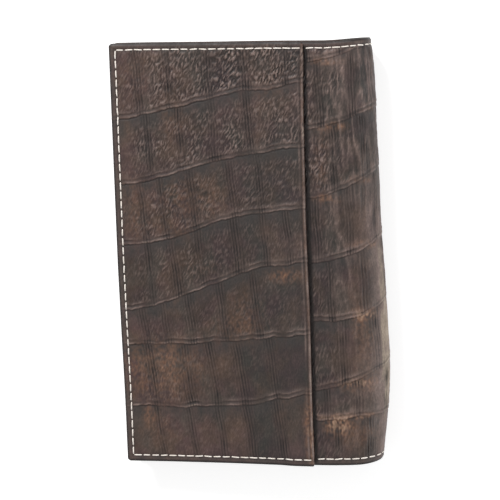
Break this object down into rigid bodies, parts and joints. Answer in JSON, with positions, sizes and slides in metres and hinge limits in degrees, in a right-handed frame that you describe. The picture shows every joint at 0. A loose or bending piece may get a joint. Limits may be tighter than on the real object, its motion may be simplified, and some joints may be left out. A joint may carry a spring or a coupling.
{
  "type": "rodeo wallet",
  "caption": "Tall bifold wallet of embossed leather with a rolled spine, an outside slip pocket, stepped card pockets, a window pocket and a zip pocket; the covers open and the zip slides.",
  "frame": {"origin": "middle of the back cover's flat outer face, which the closed wallet lies on", "axes": "+Z is the closed wallet's thickness, away from the back cover; +Y is its length, to the top; +X runs to the rolled spine"},
  "size_m": [0.1071, 0.171, 0.0221],
  "materials": {
    "croc_leather": "worn satin, crocodile emboss",
    "inside_leather": "smooth satin",
    "lining_cloth": "plain woven",
    "clear_film": "clear gloss",
    "zip_metal": "antique, satin",
    "zip_tape": "woven twill",
    "thread": "waxed, twisted"
  },
  "bodies": {
    "back_cover": {"back_panel": "croc_leather", "back_lining": "lining_cloth", "zip_pocket_bag": "lining_cloth", "zip_pocket_panel": "inside_leather", "zip_chain_fold_side": "zip_metal", "zip_chain_edge_side": "zip_metal", "zip_top_stop_fold_side": "zip_metal", "zip_top_stop_edge_side": "zip_metal", "zip_bottom_stop": "zip_metal"},
    "spine_1": {"spine_leather_1": "croc_leather", "spine_lining_1": "lining_cloth"},
    "spine_2": {"spine_leather_2": "croc_leather", "spine_lining_2": "lining_cloth"},
    "spine_3": {"spine_leather_3": "croc_leather", "spine_lining_3": "lining_cloth"},
    "spine_4": {"spine_leather_4": "croc_leather", "spine_lining_4": "lining_cloth"},
    "front_cover": {"front_panel": "croc_leather", "front_lining": "lining_cloth", "front_pocket_panel": "croc_leather", "card_panel_base": "inside_leather", "card_pocket_1": "inside_leather", "card_pocket_2": "inside_leather", "card_pocket_3": "inside_leather", "card_pocket_4": "inside_leather", "id_window_film": "clear_film", "id_window_frame": "inside_leather"},
    "zip_slider": {"zip_slider_body": "zip_metal"},
    "zip_pull": {"zip_pull_tab": "zip_metal"}
  },
  "joints": [
    {"name": "fold_1", "type": "hinge", "parent": "back_cover", "child": "spine_1", "pos_m": [0.048, 0, 0], "axis": [0, 1, 0], "range_deg": [0, 23.06]},
    {"name": "fold_2", "type": "hinge", "parent": "spine_1", "child": "spine_2", "pos_m": [0.05557, 0, 0.00322], "axis": [0, 1, 0], "range_deg": [0, 46.12]},
    {"name": "fold_3", "type": "hinge", "parent": "spine_2", "child": "spine_3", "pos_m": [0.05849, 0, 0.01091], "axis": [0, 1, 0], "range_deg": [0, 46.12]},
    {"name": "fold_4", "type": "hinge", "parent": "spine_3", "child": "spine_4", "pos_m": [0.05497, 0, 0.01835], "axis": [0, 1, 0], "range_deg": [0, 46.12]},
    {"name": "fold_5", "type": "hinge", "parent": "spine_4", "child": "front_cover", "pos_m": [0.04718, 0, 0.02097], "axis": [0, 1, 0], "range_deg": [0, 23.06]},
    {"name": "zip_slide", "type": "slide", "parent": "back_cover", "child": "zip_slider", "axis": [0, -1, 0], "range_m": [0, 0.1264], "deforming": ["zip_chain_fold_side", "zip_chain_edge_side"]},
    {"name": "pull_swing", "type": "hinge", "parent": "zip_slider", "child": "zip_pull", "pos_m": [0.029, 0.0632, 0.00715], "axis": [-1, 0, 0], "range_deg": [0, 15]}
  ],
  "couplings": [
    {"joint": "fold_2", "follows": "fold_1", "ratio": 2},
    {"joint": "fold_3", "follows": "fold_1", "ratio": 2},
    {"joint": "fold_4", "follows": "fold_1", "ratio": 2},
    {"joint": "fold_5", "follows": "fold_1", "ratio": 1}
  ]
}
